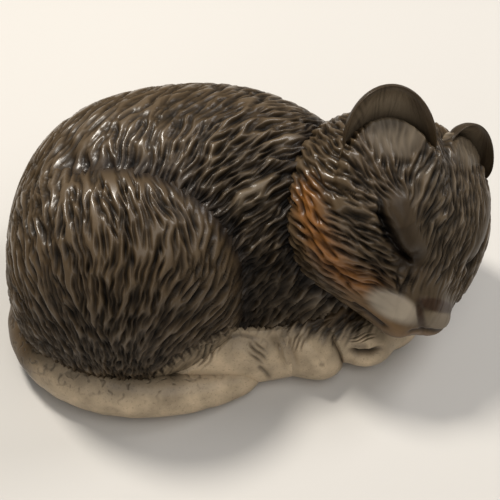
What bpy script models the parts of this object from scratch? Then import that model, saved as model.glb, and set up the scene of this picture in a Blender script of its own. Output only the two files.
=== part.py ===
"""Curled sleeping animal: an ornament of solid cast pieces, pegged together on a flat foot.

Metres. +X runs to the head end, +Y to the back, +Z up. The origin lies on the flat foot.
Each casting is a ball pushed out along its own rays to the surface of a few blended lumps.
A smaller casting is cut to seat on the larger one with a glue gap, and a peg locates it.
"""
import math

import bmesh
import bpy
import numpy as np
from mathutils import Euler, Matrix, Vector

# Fits
GLUE_GAP = 0.0003
PEG_ROOT = 0.002

# Trunk: rump, back and shoulder
RUMP_CENTRE = (-0.030, 0.010, 0.022)
RUMP_RADII = (0.0435, 0.040, 0.0465)
BACK_CENTRE = (-0.006, 0.015, 0.022)
BACK_RADII = (0.041, 0.038, 0.0445)
SHOULDER_CENTRE = (0.013, 0.011, 0.016)
SHOULDER_RADII = (0.033, 0.032, 0.035)
TRUNK_BLEND = 0.014
TRUNK_LIE = (0.62, 0.68, 0.20)
TRUNK_LOCK_PITCH = 0.0092
TRUNK_LOCK_DEPTH = 0.0012

# Right haunch: thigh and knee
THIGH_CENTRE = (-0.034, -0.011, 0.0335)
THIGH_RADII = (0.035, 0.031, 0.032)
KNEE_CENTRE = (-0.036, -0.017, 0.020)
KNEE_RADII = (0.033, 0.022, 0.022)
HAUNCH_BLEND = 0.010
HAUNCH_LIE = (0.02, 0.54, 0.84)
HAUNCH_LOCK_PITCH = 0.0082
HAUNCH_LOCK_DEPTH = 0.0008
HAUNCH_PEG_RADIUS = 0.004
HAUNCH_PEG_DEPTH = 0.008

# Locks of fur, pressed as furrows that sway from one pole of a casting to the other
LOCK_SWAY = 1.6
LOCK_WAVES = 5.0
LOCK_SIDES = 4

# Head, in its own frame: x to the nose, y to the animal's left, z up
HEAD_CENTRE = (0.0415, 0.002, 0.040)
HEAD_TURN = (-23.1, 14.6, -76.0)
SKULL_CENTRE = (-0.004, 0.0, 0.001)
SKULL_RADII = (0.028, 0.032, 0.024)
LEFT_CHEEK_CENTRE = (0.002, 0.016, -0.006)
LEFT_CHEEK_RADII = (0.021, 0.0185, 0.0175)
RIGHT_CHEEK_CENTRE = (0.001, -0.017, -0.003)
RIGHT_CHEEK_RADII = (0.021, 0.017, 0.017)
BRIDGE_CENTRE = (0.018, 0.001, -0.003)
BRIDGE_RADII = (0.018, 0.011, 0.011)
RIGHT_JAW_CENTRE = (0.015, -0.009, -0.007)
RIGHT_JAW_RADII = (0.015, 0.010, 0.008)
LEFT_JAW_CENTRE = (0.013, 0.013, -0.008)
LEFT_JAW_RADII = (0.016, 0.012, 0.010)
HEAD_BLEND = 0.008
LEFT_PAD_CENTRE = (0.029, 0.006, -0.006)
LEFT_PAD_RADII = (0.008, 0.0075, 0.0065)
RIGHT_PAD_CENTRE = (0.026, -0.0055, -0.0065)
RIGHT_PAD_RADII = (0.011, 0.0075, 0.0065)
RIGHT_PAD_TURN = (0.0, 0.0, 8.0)
CHIN_CENTRE = (0.027, 0.0, -0.010)
CHIN_RADII = (0.008, 0.007, 0.005)
MUZZLE_BLEND = 0.003
NECK_PEG_RADIUS = 0.008
NECK_PEG_DEPTH = 0.012

# Ears: a dished leaf, with its middle placed from the middle of the head
EAR_THICKNESS = 0.0052
EAR_DISH = 0.0075
EAR_TAPER = 0.06
EAR_RIM = 0.45
EAR_PEG_RADIUS = 0.0012
EAR_PEG_DEPTH = 0.005
RIGHT_EAR_PLACE = (-0.0042, 0.0063, 0.0233)
RIGHT_EAR_UP = (0.0, 0.64, 0.77)
RIGHT_EAR_FRONT = (0.1, -0.9, 0.6)
RIGHT_EAR_HEIGHT = 0.0305
RIGHT_EAR_WIDTH = 0.0260
RIGHT_EAR_PEG_SHIFT = 0.0014
LEFT_EAR_PLACE = (0.0168, 0.0135, 0.0080)
LEFT_EAR_UP = (0.15, 0.63, 0.76)
LEFT_EAR_FRONT = (0.6, -0.8, 0.3)
LEFT_EAR_HEIGHT = 0.0247
LEFT_EAR_WIDTH = 0.0240
LEFT_EAR_PEG_SHIFT = 0.0034

# Tail: two quarter ovals round the haunch, thick at the root
TAIL_MIDDLE = (-0.030, -0.012)
TAIL_REACH_BACK = 0.0365
TAIL_REACH_HEAD = 0.044
TAIL_REACH_FRONT = 0.028
TAIL_START = 150.0
TAIL_END = 318.0
TAIL_ROOT_RADIUS = 0.009
TAIL_TIP_RADIUS = 0.0035
TAIL_SINK = 0.94
TAIL_FULLNESS = 2.8
TAIL_ROUNDING = 0.06
TAIL_PEG_RADIUS = 0.002
TAIL_PEG_DEPTH = 0.004

# Paws
HIND_FOOT_CENTRE = (-0.006, -0.024, 0.008)
HIND_FOOT_RADII = (0.024, 0.011, 0.011)
HIND_FOOT_TURN = (0.0, 0.0, 12.0)
HIND_TOES_CENTRE = (0.005, -0.0245, 0.006)
HIND_TOES_RADII = (0.012, 0.009, 0.0075)
HIND_TOES_TURN = (0.0, 0.0, 15.0)
HIND_BLEND = 0.005
RIGHT_WRIST_CENTRE = (0.016, -0.018, 0.0085)
RIGHT_WRIST_RADII = (0.012, 0.015, 0.0105)
RIGHT_TOES_CENTRE = (0.021, -0.0248, 0.006)
RIGHT_TOES_RADII = (0.008, 0.009, 0.007)
RIGHT_FORE_TURN = (0.0, 0.0, 20.0)
LEFT_WRIST_CENTRE = (0.028, -0.016, 0.010)
LEFT_WRIST_RADII = (0.014, 0.010, 0.009)
LEFT_TOES_CENTRE = (0.035, -0.0223, 0.0075)
LEFT_TOES_RADII = (0.009, 0.007, 0.007)
LEFT_FORE_TURN = (0.0, 0.0, -15.0)
LEFT_FOREARM_CENTRE = (0.042, -0.012, 0.007)
LEFT_FOREARM_RADII = (0.012, 0.011, 0.012)
FORE_BLEND = 0.004
PAW_PEG_RADIUS = 0.002
PAW_PEG_DEPTH = 0.005

# Tessellation
TRUNK_MESH = (56, 34)
TRUNK_ROWS = 38
HEAD_MESH = (40, 28)
HAUNCH_MESH = (52, 32)
HAUNCH_ROWS = 26
PAW_MESH = (22, 14)
EAR_MESH = (24, 16)
TAIL_MESH = (14, 30)
PEG_SIDES = 16
SEARCH_REACH = 0.12
TABLE_SIZE = 0.4
CREASE = 40.0

for old in list(bpy.data.objects):
    bpy.data.objects.remove(old, do_unlink=True)


def turning(degrees):
    """Return the turn about X, then Y, then Z as a 3 by 3 array."""
    return np.array(Euler([math.radians(a) for a in degrees], "XYZ").to_matrix())


def lump(centre, radii, turn=(0.0, 0.0, 0.0)):
    """Return one ellipsoid: its middle, its half-lengths and its turn."""
    return np.array(centre), np.array(radii), turning(turn)


def on_head(centre, radii, turn=(0.0, 0.0, 0.0)):
    """Return an ellipsoid that is given in the head's own frame."""
    frame = turning(HEAD_TURN)
    middle = np.array(HEAD_CENTRE) + frame @ np.array(centre)
    return middle, np.array(radii), frame @ turning(turn)


def blend(a, b, reach):
    """Return the smooth lesser of two depths, rounded over a reach."""
    h = np.maximum(reach - np.abs(a - b), 0.0) / reach
    return np.minimum(a, b) - h * h * reach / 4.0


def depth(points, lumps, reach):
    """Return how far points lie outside blended ellipsoids, negative inside."""
    total = None
    for centre, radii, turn in lumps:
        local = (points - centre) @ turn
        share = np.linalg.norm(local / radii, axis=1)
        slope = np.linalg.norm(local / radii ** 2, axis=1)
        away = share * (share - 1.0) / np.maximum(slope, 1e-9)
        total = away if total is None else blend(total, away, reach)
    return total


TRUNK_LUMPS = [
    lump(RUMP_CENTRE, RUMP_RADII),
    lump(BACK_CENTRE, BACK_RADII),
    lump(SHOULDER_CENTRE, SHOULDER_RADII),
]
HAUNCH_LUMPS = [
    lump(THIGH_CENTRE, THIGH_RADII),
    lump(KNEE_CENTRE, KNEE_RADII),
]
SKULL_LUMPS = [
    on_head(SKULL_CENTRE, SKULL_RADII),
    on_head(LEFT_CHEEK_CENTRE, LEFT_CHEEK_RADII),
    on_head(RIGHT_CHEEK_CENTRE, RIGHT_CHEEK_RADII),
    on_head(BRIDGE_CENTRE, BRIDGE_RADII),
    on_head(RIGHT_JAW_CENTRE, RIGHT_JAW_RADII),
    on_head(LEFT_JAW_CENTRE, LEFT_JAW_RADII),
]
MUZZLE_LUMPS = [
    on_head(LEFT_PAD_CENTRE, LEFT_PAD_RADII),
    on_head(RIGHT_PAD_CENTRE, RIGHT_PAD_RADII, RIGHT_PAD_TURN),
    on_head(CHIN_CENTRE, CHIN_RADII),
]
HIND_LUMPS = [
    lump(HIND_FOOT_CENTRE, HIND_FOOT_RADII, HIND_FOOT_TURN),
    lump(HIND_TOES_CENTRE, HIND_TOES_RADII, HIND_TOES_TURN),
]
RIGHT_FORE_LUMPS = [
    lump(RIGHT_WRIST_CENTRE, RIGHT_WRIST_RADII, RIGHT_FORE_TURN),
    lump(RIGHT_TOES_CENTRE, RIGHT_TOES_RADII, RIGHT_FORE_TURN),
]
LEFT_FORE_LUMPS = [
    lump(LEFT_WRIST_CENTRE, LEFT_WRIST_RADII, LEFT_FORE_TURN),
    lump(LEFT_TOES_CENTRE, LEFT_TOES_RADII, LEFT_FORE_TURN),
    lump(LEFT_FOREARM_CENTRE, LEFT_FOREARM_RADII),
]


def trunk_form(points):
    return depth(points, TRUNK_LUMPS, TRUNK_BLEND)


def haunch_form(points):
    return depth(points, HAUNCH_LUMPS, HAUNCH_BLEND)


def head_form(points):
    skull = depth(points, SKULL_LUMPS, HEAD_BLEND)
    muzzle = depth(points, MUZZLE_LUMPS, MUZZLE_BLEND)
    return blend(skull, muzzle, MUZZLE_BLEND)


def hind_form(points):
    return depth(points, HIND_LUMPS, HIND_BLEND)


def right_fore_form(points):
    return depth(points, RIGHT_FORE_LUMPS, FORE_BLEND)


def left_fore_form(points):
    return depth(points, LEFT_FORE_LUMPS, FORE_BLEND)


def to_object(name, bm):
    """Turn a closed bmesh into a linked object with its faces outward."""
    bmesh.ops.recalc_face_normals(bm, faces=bm.faces)
    if bm.calc_volume(signed=True) < 0.0:
        bmesh.ops.reverse_faces(bm, faces=bm.faces)
    mesh = bpy.data.meshes.new(name)
    bm.to_mesh(mesh)
    bm.free()
    obj = bpy.data.objects.new(name, mesh)
    bpy.context.scene.collection.objects.link(obj)
    return obj


def furrows(ball, count):
    """Return 0 on the locks to 1 in the furrows between them, for points of a unit ball."""
    around = np.arctan2(ball[:, 1], ball[:, 0])
    down = np.arccos(np.clip(ball[:, 2], -1.0, 1.0))
    phase = count * around + LOCK_SWAY * np.sin(LOCK_WAVES * down)
    return np.sin(down) * (0.5 - 0.5 * np.cos(phase))


def cast(name, form, core, pole, mesh, grow=0.0, locks=0, lock_depth=0.0):
    """Push a ball out from its core along its rays to the form, grown by a clearance.

    Furrows between locks of fur are pressed in, so the locks stay at the form's own level.
    """
    bm = bmesh.new()
    bmesh.ops.create_uvsphere(bm, u_segments=mesh[0], v_segments=mesh[1], radius=1.0)
    spin = Vector(pole).to_track_quat("Z", "Y").to_matrix()
    ball = np.array([v.co for v in bm.verts])
    rays = np.array([spin @ v.co for v in bm.verts])
    core = np.array(core)
    near = np.zeros(len(rays))
    far = np.full(len(rays), SEARCH_REACH)
    for _ in range(40):
        middle = (near + far) / 2.0
        inside = form(core + rays * middle[:, None]) < grow
        near = np.where(inside, middle, near)
        far = np.where(inside, far, middle)
    near = near - lock_depth * furrows(ball, locks)
    places = core + rays * near[:, None]
    for vert, place in zip(bm.verts, places):
        vert.co = place
    return to_object(name, bm)


def ear_axes(up, front):
    """Return an ear's side, front and up directions as the columns of an array."""
    up = np.array(up) / np.linalg.norm(up)
    front = np.array(front)
    front = front - up * (front @ up)
    front = front / np.linalg.norm(front)
    return np.stack([np.cross(front, up), front, up], axis=1)


def dish_ear(name, place, up, front, height, width):
    """Press a ball into a leaf that narrows to its tip and dishes forward at its rim."""
    bm = bmesh.new()
    bmesh.ops.create_uvsphere(bm, u_segments=EAR_MESH[0], v_segments=EAR_MESH[1], radius=1.0)
    axes = ear_axes(up, front)
    middle = np.array(HEAD_CENTRE) + np.array(place)
    ball = np.array([v.co for v in bm.verts])
    tip = np.maximum(ball[:, 2], 0.0)
    side = ball[:, 0] * width / 2.0 * (1.0 - EAR_TAPER * tip)
    rise = ball[:, 2] * height / 2.0
    dish = EAR_DISH * (ball[:, 0] ** 2 + tip ** 2)
    body = np.sign(ball[:, 1]) * np.abs(ball[:, 1]) ** EAR_RIM
    forward = body * EAR_THICKNESS / 2.0 + dish
    places = middle + np.stack([side, forward, rise], axis=1) @ axes.T
    for vert, spot in zip(bm.verts, places):
        vert.co = spot
    return to_object(name, bm)


def tail_path(share):
    """Return the middle of the tail and its radius at a share of its length."""
    angle = math.radians(TAIL_START + (TAIL_END - TAIL_START) * share)
    reach = TAIL_REACH_BACK if math.cos(angle) < 0.0 else TAIL_REACH_HEAD
    thick = TAIL_ROOT_RADIUS - TAIL_TIP_RADIUS
    radius = TAIL_TIP_RADIUS + thick * (1.0 - share ** TAIL_FULLNESS)
    x = TAIL_MIDDLE[0] + reach * math.cos(angle)
    y = TAIL_MIDDLE[1] + TAIL_REACH_FRONT * math.sin(angle)
    return Vector((x, y, radius * TAIL_SINK)), radius


def sweep_tail(name, grow=0.0):
    """Sweep a circle along the tail's path and round it off at both ends."""
    sides, rows = TAIL_MESH
    bm = bmesh.new()
    rings = []
    for row in range(rows + 1):
        share = 0.5 - 0.5 * math.cos(math.pi * row / rows)
        middle, radius = tail_path(share)
        ahead = tail_path(min(share + 0.01, 1.0))[0] - tail_path(max(share - 0.01, 0.0))[0]
        ends = min(share, 1.0 - share) / TAIL_ROUNDING
        rounding = math.sqrt(1.0 - (1.0 - min(ends, 1.0)) ** 2)
        if row in (0, rows):
            rings.append([bm.verts.new(middle)])
            continue
        spin = ahead.to_track_quat("Z", "Y").to_matrix()
        ring = []
        for step in range(sides):
            angle = 2.0 * math.pi * step / sides
            out = spin @ Vector((math.cos(angle), math.sin(angle), 0.0))
            ring.append(bm.verts.new(middle + out * (radius * rounding + grow)))
        rings.append(ring)
    for step in range(sides):
        after = (step + 1) % sides
        bm.faces.new((rings[0][0], rings[1][after], rings[1][step]))
        bm.faces.new((rings[-1][0], rings[-2][step], rings[-2][after]))
        for lower, upper in zip(rings[1:-2], rings[2:-1]):
            bm.faces.new((lower[step], lower[after], upper[after], upper[step]))
    return to_object(name, bm)


def rod(name, start, end, radius):
    """Make a cylinder between two points."""
    start = Vector(start)
    end = Vector(end)
    spin = (end - start).to_track_quat("Z", "Y").to_matrix().to_4x4()
    place = Matrix.Translation((start + end) / 2.0) @ spin
    bm = bmesh.new()
    bmesh.ops.create_cone(
        bm, cap_ends=True, segments=PEG_SIDES, radius1=radius, radius2=radius,
        depth=(end - start).length, matrix=place,
    )
    return to_object(name, bm)


def apply_boolean(target, tool, operation):
    """Combine a target with a tool and throw the tool away."""
    modifier = target.modifiers.new(tool.name, "BOOLEAN")
    modifier.operation = operation
    modifier.solver = "MANIFOLD"
    modifier.object = tool
    graph = bpy.context.evaluated_depsgraph_get()
    result = bpy.data.meshes.new_from_object(target.evaluated_get(graph))
    target.modifiers.clear()
    target.data = result
    bpy.data.objects.remove(tool, do_unlink=True)


def cut(target, *tools):
    """Take tools out of a target one by one, and keep its largest body each time."""
    for tool in tools:
        apply_boolean(target, tool, "DIFFERENCE")
        drop_offcuts(target)


def table():
    """Make the block of space below the flat foot."""
    bm = bmesh.new()
    place = Matrix.Translation((0.0, 0.0, -TABLE_SIZE / 2.0))
    bmesh.ops.create_cube(bm, size=TABLE_SIZE, matrix=place)
    return to_object("table", bm)


def drop_offcuts(obj):
    """Keep the largest closed body of a casting after its cuts."""
    bm = bmesh.new()
    bm.from_mesh(obj.data)
    bmesh.ops.remove_doubles(bm, verts=bm.verts, dist=0.00001)
    bmesh.ops.dissolve_degenerate(bm, edges=bm.edges, dist=0.00001)
    seen = set()
    bodies = []
    for first in bm.verts:
        if first in seen:
            continue
        body = []
        queue = [first]
        seen.add(first)
        while queue:
            vert = queue.pop()
            body.append(vert)
            for edge in vert.link_edges:
                other = edge.other_vert(vert)
                if other not in seen:
                    seen.add(other)
                    queue.append(other)
        bodies.append(body)
    largest = max(bodies, key=len)
    spare = [v for body in bodies if body is not largest for v in body]
    bmesh.ops.delete(bm, geom=spare, context="VERTS")
    bm.to_mesh(obj.data)
    bm.free()


def seat_of(form, start, aim):
    """Return where the line from a point outside a form to one inside meets its surface."""
    near = Vector(start)
    far = Vector(aim)
    for _ in range(40):
        middle = (near + far) / 2.0
        if form(np.array([middle]))[0] > 0.0:
            near = middle
        else:
            far = middle
    return near


def peg(child, host, form, start, aim, radius, length):
    """Give a child a peg toward an aim inside its host, and the host a socket for it."""
    seat = seat_of(form, start, aim)
    way = (Vector(aim) - Vector(start)).normalized()
    root = seat - way * PEG_ROOT
    apply_boolean(child, rod("peg", root, seat + way * length, radius), "UNION")
    floor = seat + way * (length + GLUE_GAP)
    cut(host, rod("socket", root, floor, radius + GLUE_GAP))


def finish(obj, colour, roughness):
    """Clean a casting, shade it smooth and give it its own paint."""
    drop_offcuts(obj)
    for face in obj.data.polygons:
        face.use_smooth = True
    obj.data.set_sharp_from_angle(angle=math.radians(CREASE))
    paint = bpy.data.materials.new(obj.name + "_paint")
    paint.use_nodes = True
    shader = paint.node_tree.nodes["Principled BSDF"]
    shader.inputs["Base Color"].default_value = (*colour, 1.0)
    shader.inputs["Roughness"].default_value = roughness
    shader.inputs["Metallic"].default_value = 0.0
    obj.data.materials.clear()
    obj.data.materials.append(paint)


def locks_round(radius, pitch):
    """Return how many locks of a pitch lie round a casting."""
    return round(2.0 * math.pi * radius / pitch)


def furred_trunk(name):
    count = locks_round(BACK_RADII[2], TRUNK_LOCK_PITCH)
    mesh = (LOCK_SIDES * count, TRUNK_ROWS)
    return cast(name, trunk_form, BACK_CENTRE, TRUNK_LIE, mesh, 0.0, count, TRUNK_LOCK_DEPTH)


def furred_haunch(name):
    count = locks_round(THIGH_RADII[2], HAUNCH_LOCK_PITCH)
    mesh = (LOCK_SIDES * count, HAUNCH_ROWS)
    return cast(name, haunch_form, THIGH_CENTRE, HAUNCH_LIE, mesh, 0.0, count, HAUNCH_LOCK_DEPTH)


def trunk_ball(name, grow=0.0):
    return cast(name, trunk_form, BACK_CENTRE, (0, 0, 1), TRUNK_MESH, grow)


def haunch_ball(name, grow=0.0):
    return cast(name, haunch_form, THIGH_CENTRE, (0, -1, 0), HAUNCH_MESH, grow)


def head_ball(name, grow=0.0):
    nose = turning(HEAD_TURN)[:, 0]
    return cast(name, head_form, HEAD_CENTRE, nose, HEAD_MESH, grow)


def hind_ball(name, grow=0.0):
    return cast(name, hind_form, HIND_FOOT_CENTRE, (1, 0, 0), PAW_MESH, grow)


def right_fore_ball(name, grow=0.0):
    return cast(name, right_fore_form, RIGHT_WRIST_CENTRE, (0, 0, 1), PAW_MESH, grow)


def left_fore_ball(name, grow=0.0):
    return cast(name, left_fore_form, LEFT_TOES_CENTRE, (1, 0, 0), PAW_MESH, grow)


trunk = furred_trunk("trunk")
cut(trunk, table())

right_haunch = furred_haunch("right_haunch")
cut(right_haunch, table(), trunk_ball("trunk_seat", GLUE_GAP))

head = head_ball("head")
cut(head, trunk_ball("trunk_seat", GLUE_GAP))

tail = sweep_tail("tail")
cut(tail, table(), trunk_ball("trunk_seat", GLUE_GAP), haunch_ball("haunch_seat", GLUE_GAP))

right_hind_paw = hind_ball("right_hind_paw")
cut(right_hind_paw, table(), trunk_ball("trunk_seat", GLUE_GAP))
cut(right_hind_paw, haunch_ball("haunch_seat", GLUE_GAP), sweep_tail("tail_seat", GLUE_GAP))

right_foreleg = right_fore_ball("right_foreleg")
cut(right_foreleg, table(), trunk_ball("trunk_seat", GLUE_GAP), hind_ball("hind_seat", GLUE_GAP))
cut(right_foreleg, head_ball("head_seat", GLUE_GAP))

left_foreleg = left_fore_ball("left_foreleg")
cut(left_foreleg, table(), trunk_ball("trunk_seat", GLUE_GAP))
cut(left_foreleg, right_fore_ball("fore_seat", GLUE_GAP), head_ball("head_seat", GLUE_GAP))

right_ear = dish_ear(
    "right_ear", RIGHT_EAR_PLACE, RIGHT_EAR_UP, RIGHT_EAR_FRONT, RIGHT_EAR_HEIGHT, RIGHT_EAR_WIDTH
)
cut(right_ear, head_ball("head_seat", GLUE_GAP))

left_ear = dish_ear(
    "left_ear", LEFT_EAR_PLACE, LEFT_EAR_UP, LEFT_EAR_FRONT, LEFT_EAR_HEIGHT, LEFT_EAR_WIDTH
)
cut(left_ear, head_ball("head_seat", GLUE_GAP))

for casting in (trunk, right_haunch, head, tail, right_hind_paw, right_foreleg, left_foreleg,
                right_ear, left_ear):
    drop_offcuts(casting)

peg(head, trunk, trunk_form, HEAD_CENTRE, SHOULDER_CENTRE, NECK_PEG_RADIUS, NECK_PEG_DEPTH)

thigh_front = Vector(THIGH_CENTRE) - Vector((0.0, THIGH_RADII[1], 0.0))
peg(right_haunch, trunk, trunk_form, thigh_front, THIGH_CENTRE,
    HAUNCH_PEG_RADIUS, HAUNCH_PEG_DEPTH)

tail_middle = tail_path(0.5)[0]
tail_aim = Vector((tail_middle.x, KNEE_CENTRE[1], tail_middle.z))
peg(tail, right_haunch, haunch_form, tail_middle, tail_aim, TAIL_PEG_RADIUS, TAIL_PEG_DEPTH)

hind_middle = (Vector(HIND_FOOT_CENTRE) + Vector(HIND_TOES_CENTRE)) / 2.0
hind_start = hind_middle - Vector((0.0, HIND_TOES_RADII[1] / 2.0, 0.0))
hind_aim = Vector((hind_middle.x, SHOULDER_CENTRE[1], hind_middle.z))
peg(right_hind_paw, trunk, trunk_form, hind_start, hind_aim, PAW_PEG_RADIUS, PAW_PEG_DEPTH)

right_toes = Vector(RIGHT_TOES_CENTRE)
right_aim = Vector((RIGHT_TOES_CENTRE[0], SHOULDER_CENTRE[1], RIGHT_WRIST_CENTRE[2]))
peg(right_foreleg, trunk, trunk_form, right_toes, right_aim, PAW_PEG_RADIUS, PAW_PEG_DEPTH)

left_wrist = Vector(LEFT_TOES_CENTRE)
left_aim = Vector((SHOULDER_CENTRE[0], SHOULDER_CENTRE[1], LEFT_TOES_CENTRE[2]))
peg(left_foreleg, trunk, trunk_form, left_wrist, left_aim, PAW_PEG_RADIUS, PAW_PEG_DEPTH)

for ear, place, up, front, height, shift in (
    (right_ear, RIGHT_EAR_PLACE, RIGHT_EAR_UP, RIGHT_EAR_FRONT, RIGHT_EAR_HEIGHT, RIGHT_EAR_PEG_SHIFT),
    (left_ear, LEFT_EAR_PLACE, LEFT_EAR_UP, LEFT_EAR_FRONT, LEFT_EAR_HEIGHT, LEFT_EAR_PEG_SHIFT),
):
    axes = ear_axes(up, front)
    middle = Vector(HEAD_CENTRE) + Vector(place) + Vector(axes[:, 1]) * shift
    along = Vector(axes[:, 2]) * (height / 2.0)
    peg(ear, head, head_form, middle + along, middle - along, EAR_PEG_RADIUS, EAR_PEG_DEPTH)

BROWN = (0.045, 0.033, 0.024)
BEIGE = (0.30, 0.23, 0.16)
finish(trunk, BROWN, 0.42)
finish(right_haunch, BROWN, 0.42)
finish(head, BROWN, 0.40)
finish(right_ear, BROWN, 0.45)
finish(left_ear, BROWN, 0.45)
finish(tail, BEIGE, 0.55)
finish(right_hind_paw, BEIGE, 0.55)
finish(right_foreleg, BEIGE, 0.55)
finish(left_foreleg, BEIGE, 0.55)
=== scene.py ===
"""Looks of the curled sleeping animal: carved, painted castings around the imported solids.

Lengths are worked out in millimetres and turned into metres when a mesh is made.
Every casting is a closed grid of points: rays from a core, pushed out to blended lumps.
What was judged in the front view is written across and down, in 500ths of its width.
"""

import math
from typing import NamedTuple

import bpy
import numpy as np
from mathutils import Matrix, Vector


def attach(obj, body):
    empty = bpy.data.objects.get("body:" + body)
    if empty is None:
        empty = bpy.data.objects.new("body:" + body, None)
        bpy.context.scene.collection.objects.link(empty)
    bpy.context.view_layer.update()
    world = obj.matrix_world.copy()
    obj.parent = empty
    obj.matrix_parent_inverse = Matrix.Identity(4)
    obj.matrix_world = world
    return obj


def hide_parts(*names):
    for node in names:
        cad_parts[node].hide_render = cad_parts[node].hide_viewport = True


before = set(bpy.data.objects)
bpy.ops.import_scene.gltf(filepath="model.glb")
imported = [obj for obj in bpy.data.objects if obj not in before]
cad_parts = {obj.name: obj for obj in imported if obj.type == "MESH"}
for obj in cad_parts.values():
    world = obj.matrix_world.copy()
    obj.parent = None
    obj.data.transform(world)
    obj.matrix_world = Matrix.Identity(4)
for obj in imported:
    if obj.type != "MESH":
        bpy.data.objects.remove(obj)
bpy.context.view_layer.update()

MM = 0.001
FLOOR = 0.05
RNG = np.random.default_rng(11)

# Paints
DARK = np.array([0.066, 0.042, 0.020])
# Near-black for the eye lines and mouth, and for painted shade in creases, clefts and folds
BLACK_LINES_AND_SHADE = np.array([0.018, 0.011, 0.007])
BEIGE = np.array([0.500, 0.390, 0.260])
STRAW = np.array([0.240, 0.140, 0.062])
PALE = np.array([0.470, 0.395, 0.300])
ORANGE = np.array([0.250, 0.092, 0.014])
GREY = np.array([0.170, 0.132, 0.088])
LEATHER = np.array([0.048, 0.024, 0.012])
# Dry-brushed paint and painted highlight on the fur's ridge tops
DRY_BRUSH_AND_HIGHLIGHT = (0.15, 0.115, 0.078, 1.0)
PAPER = (0.60, 0.58, 0.55, 1.0)

# Front view
VIEW_SIZE = 500.0
VIEW_MIDDLE = VIEW_SIZE / 2.0
VIEW_SCALE = 845.0
TILT = math.radians(50.0)
AHEAD = np.array([0.0, math.cos(TILT), -math.sin(TILT)])
UPWARD = np.array([0.0, math.sin(TILT), math.cos(TILT)])
CAMERA_TARGET = np.array([0.0, 0.0, 25.0])
CAMERA_DISTANCE = 261.0
EYE = CAMERA_TARGET - CAMERA_DISTANCE * AHEAD
SENSOR_WIDTH = 36.0


def unit(v):
    """Scale vectors along the last axis to length one."""
    v = np.asarray(v, float)
    return v / np.maximum(np.linalg.norm(v, axis=-1, keepdims=True), 1e-12)


def turning(degrees):
    """Turn about x, then y, then z, as the product of three plane rotations."""
    a, b, c = np.radians(degrees)
    x = np.array([[1, 0, 0], [0, math.cos(a), -math.sin(a)], [0, math.sin(a), math.cos(a)]])
    y = np.array([[math.cos(b), 0, math.sin(b)], [0, 1, 0], [-math.sin(b), 0, math.cos(b)]])
    z = np.array([[math.cos(c), -math.sin(c), 0], [math.sin(c), math.cos(c), 0], [0, 0, 1]])
    return z @ y @ x


def smooth(low, high, x):
    """Ease from 0 at low to 1 at high with the cubic 3t^2 - 2t^3."""
    t = np.clip((x - low) / (high - low), 0.0, 1.0)
    return t * t * (3.0 - 2.0 * t)


def bell(distance, width):
    """Bell curve of a distance: e to the minus square of distance over width."""
    return np.exp(-(distance / width) ** 2)


def mix(a, b, share):
    """Move colours a toward b by a share."""
    return a + (b - a) * np.asarray(share)[..., None]


def plain(shape, colour):
    """Give every point of a grid one colour."""
    return np.broadcast_to(colour, shape + (3,)).copy()


# Lumps: ellipsoids by centre, radii and turn, the head's in its own frame with x to the nose
HEAD_AT = np.array([41.5, 2.0, 40.0])
HEAD_TURN = turning((-23.1, 14.6, -76.0))


def lump(centre, radii, turn=(0, 0, 0)):
    """An ellipsoid placed in the part's frame."""
    return np.array(centre, float), np.array(radii, float), turning(turn)


def on_head(centre, radii, turn=(0, 0, 0)):
    """An ellipsoid placed in the head's frame."""
    middle = HEAD_AT + HEAD_TURN @ np.array(centre, float)
    return middle, np.array(radii, float), HEAD_TURN @ turning(turn)


RUMP = lump((-30, 10, 22), (43.5, 40, 46.5))
BACK = lump((-6, 15, 22), (41, 38, 44.5))
SHOULDER = lump((13, 11, 16), (33, 32, 35))
THIGH = lump((-34, -11, 33.5), (35, 31, 32))
KNEE = lump((-36, -17, 20), (33, 22, 22))
SKULL = on_head((-4, 0, 1), (28, 32, 24))
LEFT_CHEEK = on_head((2, 16, -6), (21, 18.5, 17.5))
RIGHT_CHEEK = on_head((1, -17, -3), (21, 17, 17))
BRIDGE = on_head((18, 1, -3), (18, 11, 11))
RIGHT_JAW = on_head((15, -9, -7), (15, 10, 8))
LEFT_JAW = on_head((13, 13, -8), (16, 12, 10))
LEFT_WHISKER_PAD = on_head((29, 6, -6), (8, 7.5, 6.5))
RIGHT_WHISKER_PAD = on_head((26, -5.5, -6.5), (11, 7.5, 6.5), (0, 0, 8))
CHIN = on_head((27, 0, -10), (8, 7, 5))
HIND_FOOT = lump((-6, -24, 8), (24, 11, 11), (0, 0, 12))
HIND_TOES = lump((5, -24.5, 6), (12, 9, 7.5), (0, 0, 15))
RIGHT_WRIST = lump((16, -18, 8.5), (12, 15, 10.5), (0, 0, 20))
RIGHT_TOES = lump((21, -24.8, 6), (8, 9, 7), (0, 0, 20))
LEFT_WRIST = lump((28, -16, 10), (14, 10, 9), (0, 0, -15))
LEFT_TOES = lump((35, -22.3, 7.5), (9, 7, 7), (0, 0, -15))
LEFT_FOREARM = lump((42, -12, 7), (12, 11, 12))


def blend(a, b, width):
    """Smooth lesser of two depths: the lesser, less h^2 width / 4, h the closeness of the two."""
    h = np.maximum(width - np.abs(a - b), 0.0) / width
    return np.minimum(a, b) - h * h * width / 4.0


def depth(points, lumps, width):
    """Distance outside blended ellipsoids: k(k-1)/s, k the scaled radius and s its slope."""
    total = None
    for centre, radii, turn in lumps:
        local = (points - centre) @ turn
        k = np.linalg.norm(local / radii, axis=-1)
        s = np.maximum(np.linalg.norm(local / radii ** 2, axis=-1), 1e-9)
        away = k * (k - 1.0) / s
        total = away if total is None else blend(total, away, width)
    return total


def trunk_form(p):
    """Distance outside the trunk."""
    return depth(p, (RUMP, BACK, SHOULDER), 14.0)


def haunch_form(p):
    """Distance outside the haunch."""
    return depth(p, (THIGH, KNEE), 10.0)


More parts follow.
